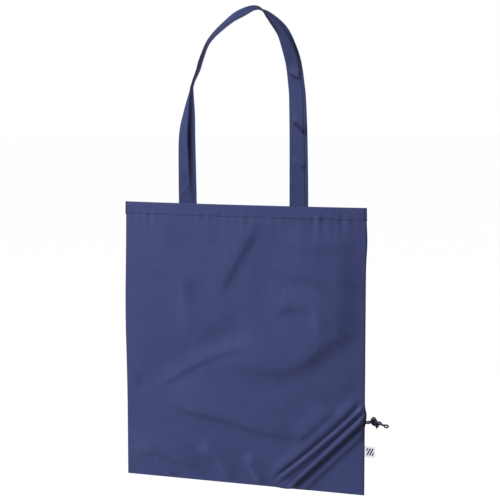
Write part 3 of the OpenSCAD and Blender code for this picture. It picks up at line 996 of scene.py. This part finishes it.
class Finish:
    """A material with one Principled shader. Its methods add nodes and return Values."""

    def __init__(self, name, **constants):
        self.material = bpy.data.materials.new(name)
        self.material.use_nodes = True
        self.tree = self.material.node_tree
        self.shader = self.tree.nodes["Principled BSDF"]
        for socket, value in constants.items():
            self.shader.inputs[socket.replace("_", " ")].default_value = value

    def node(self, kind, settings, inputs, output=0):
        made = self.tree.nodes.new(kind)
        for setting, value in settings.items():
            setattr(made, setting, value)
        for socket, value in inputs.items():
            if isinstance(value, Value):
                self.tree.links.new(value.socket, made.inputs[socket])
            else:
                made.inputs[socket].default_value = value
        return Value(self, made.outputs[output])

    def feed(self, socket, value):
        self.tree.links.new(value.socket, self.shader.inputs[socket])

    def cloth(self, scale):
        """The piece's own cloth millimetres, scaled by scale."""
        uv = self.node("ShaderNodeUVMap", {"uv_map": "cloth"}, {})
        return self.node("ShaderNodeMapping", {}, {"Vector": uv, "Scale": scale})

    def noise(self, where, scale, detail=2.0, rough=0.5):
        inputs = {"Vector": where, "Scale": scale, "Detail": detail, "Roughness": rough}
        return self.node("ShaderNodeTexNoise", {}, inputs)

    def wave(self, direction, where, scale, distortion):
        inputs = {"Vector": where, "Scale": scale, "Distortion": distortion}
        return self.node("ShaderNodeTexWave", {"bands_direction": direction}, inputs)

    def mix(self, amount, a, b):
        return self.node("ShaderNodeMix", {"data_type": "RGBA"}, {0: amount, 6: a, 7: b}, output=2)

    def bump(self, height, strength, distance):
        inputs = {"Height": height, "Strength": strength, "Distance": distance}
        return self.node("ShaderNodeBump", {}, inputs)


def colour(red, green, blue):
    """A screen colour from 0 to 255 as the linear colour that a shader takes."""
    return (*(((c / 255 + 0.055) / 1.055) ** 2.4 for c in (red, green, blue)), 1)


print("mid grey is", round(colour(128, 128, 128)[0], 3), "in linear light")


# %% [markdown]
# ### Navy cloth
# The cloth is woven plainly from fine bright threads, four to a millimetre each way, so
# the weave is only seen close up. Further away it shows as a soft sheen, with faint
# crinkles and a little unevenness in the dye.

# %% Navy cloth
# The dark navy of painted shade in grooves, folds and along seams.
PAINTED_SHADE_NAVY = colour(16, 19, 44)


def navy_cloth(name, base, light, crinkle):
    """Cloth between two shades of the dye. Its painted shade value darkens it towards a dark navy."""
    finish = Finish(
        name, Roughness=0.5, Sheen_Weight=0.05, Sheen_Roughness=0.4,
        Sheen_Tint=colour(150, 160, 215), Specular_IOR_Level=0.14,
    )
    threads = finish.cloth((1, 1, 1))
    warp = finish.wave("X", threads, 1.2, 0.3)
    weft = finish.wave("Y", threads, 1.2, 0.3)
    weave = warp.math("MAXIMUM", warp, weft)
    patchy = finish.noise(threads, 0.035, 3.0)
    slub = finish.noise(finish.cloth((0.05, 1.1, 1)), 1.0)
    slub = slub + finish.noise(finish.cloth((1.1, 0.05, 1)), 1.0)
    fine = finish.noise(threads, 0.16, 3.0, 0.6)
    shade = patchy * 0.5 + slub * 0.32 + weave * 0.2 - 0.1
    painted_shade = finish.node("ShaderNodeAttribute", {"attribute_name": "painted_shade"}, {}, output=2)
    dyed = finish.mix(shade, base, light)
    # Painted shade: the colour darkens towards the dark navy where shade falls.
    finish.feed("Base Color", finish.mix(painted_shade * 0.85, dyed, PAINTED_SHADE_NAVY))
    finish.feed("Roughness", 0.46 + patchy * 0.16)
    broad = finish.noise(threads, 0.045)
    relief = weave * 0.05 + fine * crinkle + broad * crinkle * 1.4
    finish.feed("Normal", finish.bump(relief, 0.5, 0.0005))
    return finish.material


bag_navy = navy_cloth("navy_weave", colour(51, 57, 100), colour(70, 78, 125), 1.3)
handle_navy = navy_cloth("navy_handle_weave", colour(46, 53, 92), colour(62, 70, 114), 1.0)
inside_navy = navy_cloth("navy_inner_weave", colour(49, 55, 90), colour(61, 67, 104), 0.5)
print(bag_navy.name, "has", len(bag_navy.node_tree.nodes), "nodes")

# %% [markdown]
# ### Thread, cord and label
# Thread and cord are twisted, which shows as slanting bands. The label is shiny white
# satin with its three dark bars woven in.


# %% Thread and cord
def thread_finish(name, base, light, turns):
    finish = Finish(name, Roughness=0.6)
    place_on = finish.node("ShaderNodeTexCoord", {}, {}, output=3)
    twist = finish.wave("DIAGONAL", place_on, turns, 1.0)
    uneven = finish.noise(place_on, turns * 0.4)
    finish.feed("Base Color", finish.mix(twist * 0.6 + uneven * 0.4, base, light))
    finish.feed("Normal", finish.bump(twist, 0.4, 0.0002))
    return finish.material


thread_navy = thread_finish("navy_thread", colour(44, 50, 88), colour(58, 65, 106), 900)
cord_navy = thread_finish("navy_cord", colour(14, 18, 50), colour(26, 32, 74), 420)
print("thread and cord are dyed")

# %% Label satin
satin_finish = Finish("white_satin", Roughness=0.4, Sheen_Weight=0.2)
uv = satin_finish.cloth((1, 1, 1))
across_label = satin_finish.node("ShaderNodeSeparateXYZ", {}, {"Vector": uv})
down_label = Value(satin_finish, across_label.socket.node.outputs[1])


def within(value, middle, reach):
    settings, inputs = {"operation": "COMPARE"}, {0: value, 1: middle, 2: reach}
    return satin_finish.node("ShaderNodeMath", settings, inputs)


slant = across_label + down_label * 0.5
bars = slant.math("PINGPONG", slant, 2.0)
bar = bars.math("GREATER_THAN", bars, 0.8)
inked = bar * within(across_label, 8.0, 5.4) * within(down_label, 8.2, 5.2)
satin = satin_finish.wave("Y", uv, 1.4, 0.2)
white = satin_finish.mix(satin, colour(246, 246, 248), colour(254, 254, 255))
satin_finish.feed("Base Color", satin_finish.mix(inked, white, colour(34, 40, 84)))
satin_finish.feed("Normal", satin_finish.bump(satin, 0.15, 0.0001))
print("the label is woven")


# %% Dress the pieces
def dress(piece, material):
    piece.data.materials.clear()
    piece.data.materials.append(material)


for piece in list(bpy.context.scene.objects):
    if piece.type != "MESH" or piece in frame["nodes"].values():
        continue
    if "stitches" in piece.name:
        dress(piece, thread_navy)
    elif "turning" in piece.name or "strip" in piece.name:
        dress(piece, inside_navy)
    elif "handle" in piece.name:
        dress(piece, handle_navy)
    elif piece.name.endswith("_cloth") and "label" not in piece.name:
        dress(piece, bag_navy)
dress(cord_tail, cord_navy)
dress(label_piece, satin_finish.material)
for node in ("drawstring_front_run", "drawstring_back_run"):
    dress(frame["nodes"][node], cord_navy)
print("materials:", sorted(m.name for m in bpy.data.materials if m.users))

# %% [markdown]
# ## Floor and light
# The bag hangs well above a plain pale floor, which looks white but keeps its shadows. A
# soft lamp at the front left gives the cloth its sheen and its gentle shadows, one behind
# draws the edges, and the surroundings fill the rest. They look white too, yet light the
# cloth only a little.

# %% Floor
WHITE, FLOOR_Z = (1, 1, 1, 1), -1.1
deselect()
bpy.ops.mesh.primitive_circle_add(vertices=96, radius=14, fill_type="NGON", location=(0, 0, FLOOR_Z))
floor = bpy.context.active_object
floor.name = "floor"
floor_finish = Finish("pale_floor", Roughness=0.9, Base_Color=(0.8, 0.8, 0.8, 1))
seen_ray = floor_finish.node("ShaderNodeLightPath", {}, {})
glow = floor_finish.node("ShaderNodeEmission", {}, {"Color": WHITE, "Strength": 1.1})
own = Value(floor_finish, floor_finish.shader.outputs[0])
mixed = floor_finish.node("ShaderNodeMixShader", {}, {0: seen_ray * 0.88, 1: own, 2: glow})
surface = floor_finish.tree.nodes["Material Output"].inputs["Surface"]
floor_finish.tree.links.new(mixed.socket, surface)
dress(floor, floor_finish.material)
print("floor at", FLOOR_Z, "m")

# %% Light
world = bpy.data.worlds.new("studio")
bpy.context.scene.world = world
world.use_nodes = True
nodes, links = world.node_tree.nodes, world.node_tree.links
surround = nodes["Background"]
surround.inputs["Color"].default_value = WHITE
seen = nodes.new("ShaderNodeLightPath")
strength = nodes.new("ShaderNodeMix")
strength.inputs[2].default_value, strength.inputs[3].default_value = 0.24, 1.0
anyway = nodes.new("ShaderNodeMath")
anyway.operation = "MAXIMUM"
links.new(seen.outputs["Is Camera Ray"], anyway.inputs[0])
links.new(seen.outputs["Is Transmission Ray"], anyway.inputs[1])
links.new(anyway.outputs[0], strength.inputs[0])
links.new(strength.outputs[0], surround.inputs["Strength"])


def lamp(name, size, power, at, towards):
    """A round soft lamp, size metres across and power watts strong."""
    data = bpy.data.lights.new(name, "AREA")
    data.shape, data.size, data.energy = "DISK", size, power
    made = bpy.data.objects.new(name, data)
    bpy.context.scene.collection.objects.link(made)
    aim = np.array(towards, float) - at
    aim /= np.linalg.norm(aim)
    side = np.cross(aim, (0, 0, 1))
    side /= np.linalg.norm(side)
    top = np.cross(side, aim)
    made.matrix_world = stand((side, top, -aim), at)


bag_middle = (0, 0, -0.4)
lamp("key", 0.7, 66, (-1.6, -1.3, 1.15), bag_middle)
lamp("rim", 1.0, 34, (1.1, 2.0, 0.9), bag_middle)
bpy.context.scene.view_settings.view_transform = "Standard"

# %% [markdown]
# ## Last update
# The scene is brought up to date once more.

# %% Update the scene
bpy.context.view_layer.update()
